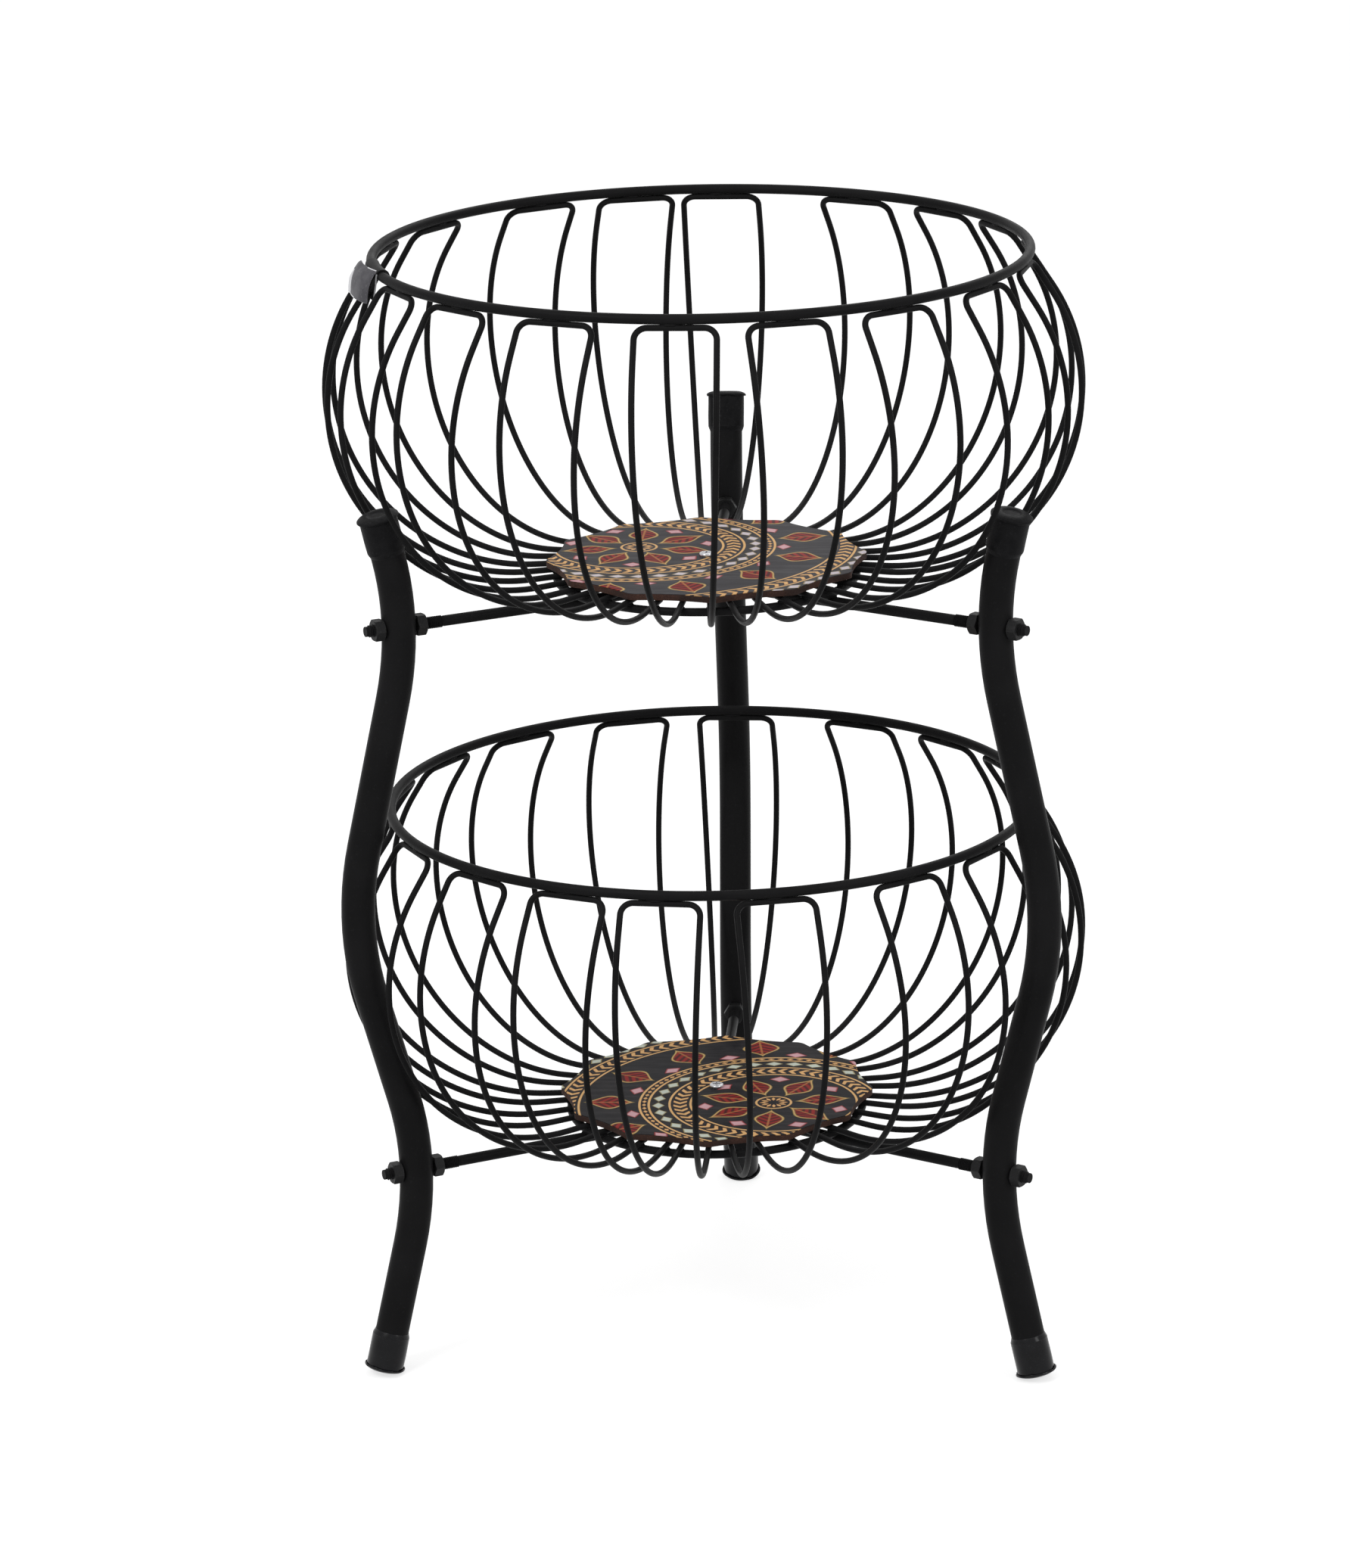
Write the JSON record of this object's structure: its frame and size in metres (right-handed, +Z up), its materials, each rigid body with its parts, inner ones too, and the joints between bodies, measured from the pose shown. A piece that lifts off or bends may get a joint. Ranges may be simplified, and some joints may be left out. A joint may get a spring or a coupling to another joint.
{
  "type": "tiered wire basket",
  "caption": "Free-standing tiered wire basket: round bowls of hairpin wire hoops, one above the other, bolted to a bent tube stand with rubber feet.",
  "frame": {"origin": "the stand's middle axis where it meets the floor", "axes": "+Z up along the stand's axis, +Y towards the back leg, +X to the right seen from the front"},
  "size_m": [0.4944, 0.5138, 0.7322],
  "materials": {
    "black_paint": "satin black powder coat",
    "black_nuts": "satin black paint",
    "black_rubber": "soft black moulded rubber",
    "bright_steel": "bright plated steel",
    "brown_board": "dark reddish-brown fibreboard",
    "printed_sheet": null,
    "grey_tag": "dark grey plate, bare"
  },
  "bodies": {
    "root": {"leg_back": "black_paint", "leg_left": "black_paint", "leg_right": "black_paint", "foot_ferrules": "black_rubber", "top_ferrules": "black_rubber", "lower_top_ring": "black_paint", "lower_base_ring": "black_paint", "lower_hoop_1": "black_paint", "lower_hoop_2": "black_paint", "lower_hoop_3": "black_paint", "lower_hoop_4": "black_paint", "lower_hoop_5": "black_paint", "lower_hoop_6": "black_paint", "lower_hoop_7": "black_paint", "lower_hoop_8": "black_paint", "lower_hoop_9": "black_paint", "lower_hoop_10": "black_paint", "lower_hoop_11": "black_paint", "lower_hoop_12": "black_paint", "lower_hoop_13": "black_paint", "lower_hoop_14": "black_paint", "lower_hoop_15": "black_paint", "lower_hoop_16": "black_paint", "lower_hoop_17": "black_paint", "lower_hoop_18": "black_paint", "lower_tie_rods": "black_paint", "lower_rod_nuts": "black_nuts", "lower_hub_plate": "black_paint", "lower_hub_nut": "bright_steel", "lower_board": "brown_board", "lower_board_print": "printed_sheet", "lower_board_screw": "bright_steel", "upper_top_ring": "black_paint", "upper_base_ring": "black_paint", "upper_hoop_1": "black_paint", "upper_hoop_2": "black_paint", "upper_hoop_3": "black_paint", "upper_hoop_4": "black_paint", "upper_hoop_5": "black_paint", "upper_hoop_6": "black_paint", "upper_hoop_7": "black_paint", "upper_hoop_8": "black_paint", "upper_hoop_9": "black_paint", "upper_hoop_10": "black_paint", "upper_hoop_11": "black_paint", "upper_hoop_12": "black_paint", "upper_hoop_13": "black_paint", "upper_hoop_14": "black_paint", "upper_hoop_15": "black_paint", "upper_hoop_16": "black_paint", "upper_hoop_17": "black_paint", "upper_hoop_18": "black_paint", "upper_tie_rods": "black_paint", "upper_rod_nuts": "black_nuts", "upper_hub_plate": "black_paint", "upper_hub_nut": "bright_steel", "upper_board": "brown_board", "upper_board_print": "printed_sheet", "upper_board_screw": "bright_steel", "ring_tag": "grey_tag"}
  },
  "joints": []
}
